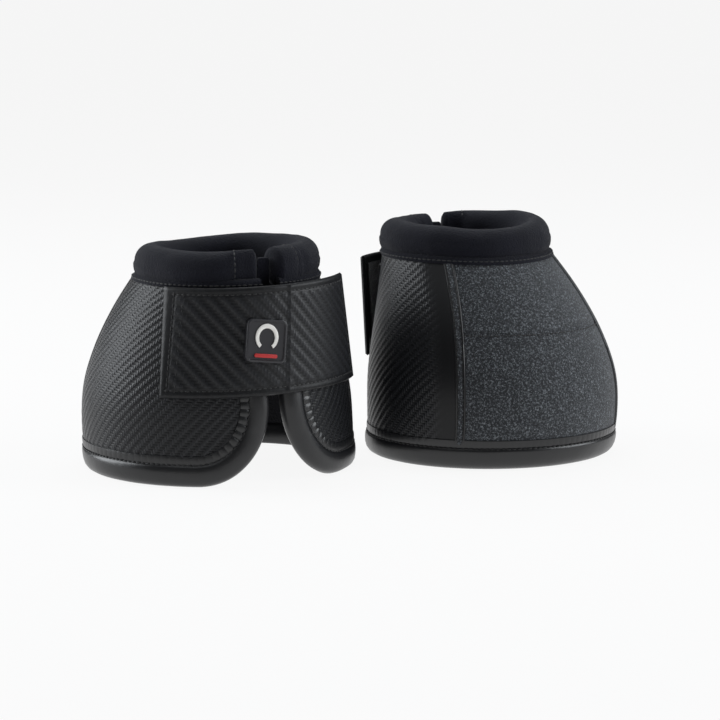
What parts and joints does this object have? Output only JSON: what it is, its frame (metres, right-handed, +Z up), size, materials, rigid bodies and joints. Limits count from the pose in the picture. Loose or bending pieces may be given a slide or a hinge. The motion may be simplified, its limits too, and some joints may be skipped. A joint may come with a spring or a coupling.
{
  "type": "over-reach boot pair",
  "caption": "Wrap-round bell boots for a horse's hooves, with carbon-look shells, padded collars, bound hems and a wide hook-and-loop strap.",
  "frame": {"origin": "middle of the pair's bounding box, on the floor the hems stand on", "axes": "+X along the pair, +Y away from the side that shows boot 1's closure and boot 2's heel, +Z up"},
  "size_m": [0.3272, 0.2056, 0.1433],
  "materials": {
    "carbon_skin": "satin, embossed with a woven carbon look",
    "ballistic_cloth": "rough speckled weave",
    "smooth_binding": "satin smooth",
    "neoprene": "matt, fine knit over foam",
    "foam": "matt",
    "lining_cloth": "matt",
    "hook_loop": "rough",
    "badge_rubber": "satin",
    "emblem_rubber": "satin"
  },
  "bodies": {
    "boot1_shell": {"boot1_heel_panel": "ballistic_cloth", "boot1_side_panel": "carbon_skin", "boot1_foam_core": "foam", "boot1_lining": "lining_cloth", "boot1_hem_binding": "smooth_binding", "boot1_seam_strip": "smooth_binding", "boot1_collar_band": "neoprene", "boot1_collar_cover": "neoprene", "boot1_collar_end_cap": "neoprene", "boot1_collar_foam": "foam", "boot1_seam_welts": "smooth_binding", "boot1_anti_turn_pad": "neoprene", "boot1_loop_patch": "hook_loop", "boot1_tongue": "neoprene"},
    "boot1_wing": {"boot1_wing_panel": "carbon_skin", "boot1_wing_foam_core": "foam", "boot1_wing_lining": "lining_cloth", "boot1_wing_hem_binding": "smooth_binding", "boot1_wing_seam_strip": "smooth_binding", "boot1_wing_collar_band": "neoprene", "boot1_wing_collar_cover": "neoprene", "boot1_wing_collar_end_cap": "neoprene", "boot1_wing_collar_foam": "foam", "boot1_strap_anchor": "carbon_skin"},
    "boot1_strap": {"boot1_strap_face": "carbon_skin", "boot1_strap_hook_tape": "hook_loop", "boot1_badge": "badge_rubber", "boot1_badge_emblem": "emblem_rubber"},
    "boot2_shell": {"boot2_heel_panel": "ballistic_cloth", "boot2_side_panel": "carbon_skin", "boot2_foam_core": "foam", "boot2_lining": "lining_cloth", "boot2_hem_binding": "smooth_binding", "boot2_seam_strip": "smooth_binding", "boot2_collar_band": "neoprene", "boot2_collar_cover": "neoprene", "boot2_collar_end_cap": "neoprene", "boot2_collar_foam": "foam", "boot2_seam_welts": "smooth_binding", "boot2_anti_turn_pad": "neoprene", "boot2_loop_patch": "hook_loop", "boot2_tongue": "neoprene"},
    "boot2_wing": {"boot2_wing_panel": "carbon_skin", "boot2_wing_foam_core": "foam", "boot2_wing_lining": "lining_cloth", "boot2_wing_hem_binding": "smooth_binding", "boot2_wing_seam_strip": "smooth_binding", "boot2_wing_collar_band": "neoprene", "boot2_wing_collar_cover": "neoprene", "boot2_wing_collar_end_cap": "neoprene", "boot2_wing_collar_foam": "foam", "boot2_strap_anchor": "carbon_skin"},
    "boot2_strap": {"boot2_strap_face": "carbon_skin", "boot2_strap_hook_tape": "hook_loop", "boot2_badge": "badge_rubber", "boot2_badge_emblem": "emblem_rubber"}
  },
  "joints": [
    {"name": "boot1_wing_open", "type": "hinge", "parent": "boot1_shell", "child": "boot1_wing", "pos_m": [-0.17243, -0.02278, 0.02975], "axis": [-0.3406, 0.1089, -0.9339], "range_deg": [0, 28]},
    {"name": "boot1_strap_peel", "type": "hinge", "parent": "boot1_wing", "child": "boot1_strap", "pos_m": [-0.10349, -0.09974, 0.05261], "axis": [-0.0916, -0.16, -0.9829], "range_deg": [0, 105]},
    {"name": "boot2_wing_open", "type": "hinge", "parent": "boot2_shell", "child": "boot2_wing", "pos_m": [0.1743, 0.01847, 0.03125], "axis": [0.393, -0.0893, -0.9152], "range_deg": [0, 28]},
    {"name": "boot2_strap_peel", "type": "hinge", "parent": "boot2_wing", "child": "boot2_strap", "pos_m": [0.11143, 0.09778, 0.05848], "axis": [0.226, 0.183, -0.9568], "range_deg": [0, 105]},
    {"name": "boot2_lift", "type": "slide", "parent": "boot1_shell", "child": "boot2_shell", "axis": [0, 0, 1], "range_m": [0, 0.2]}
  ]
}
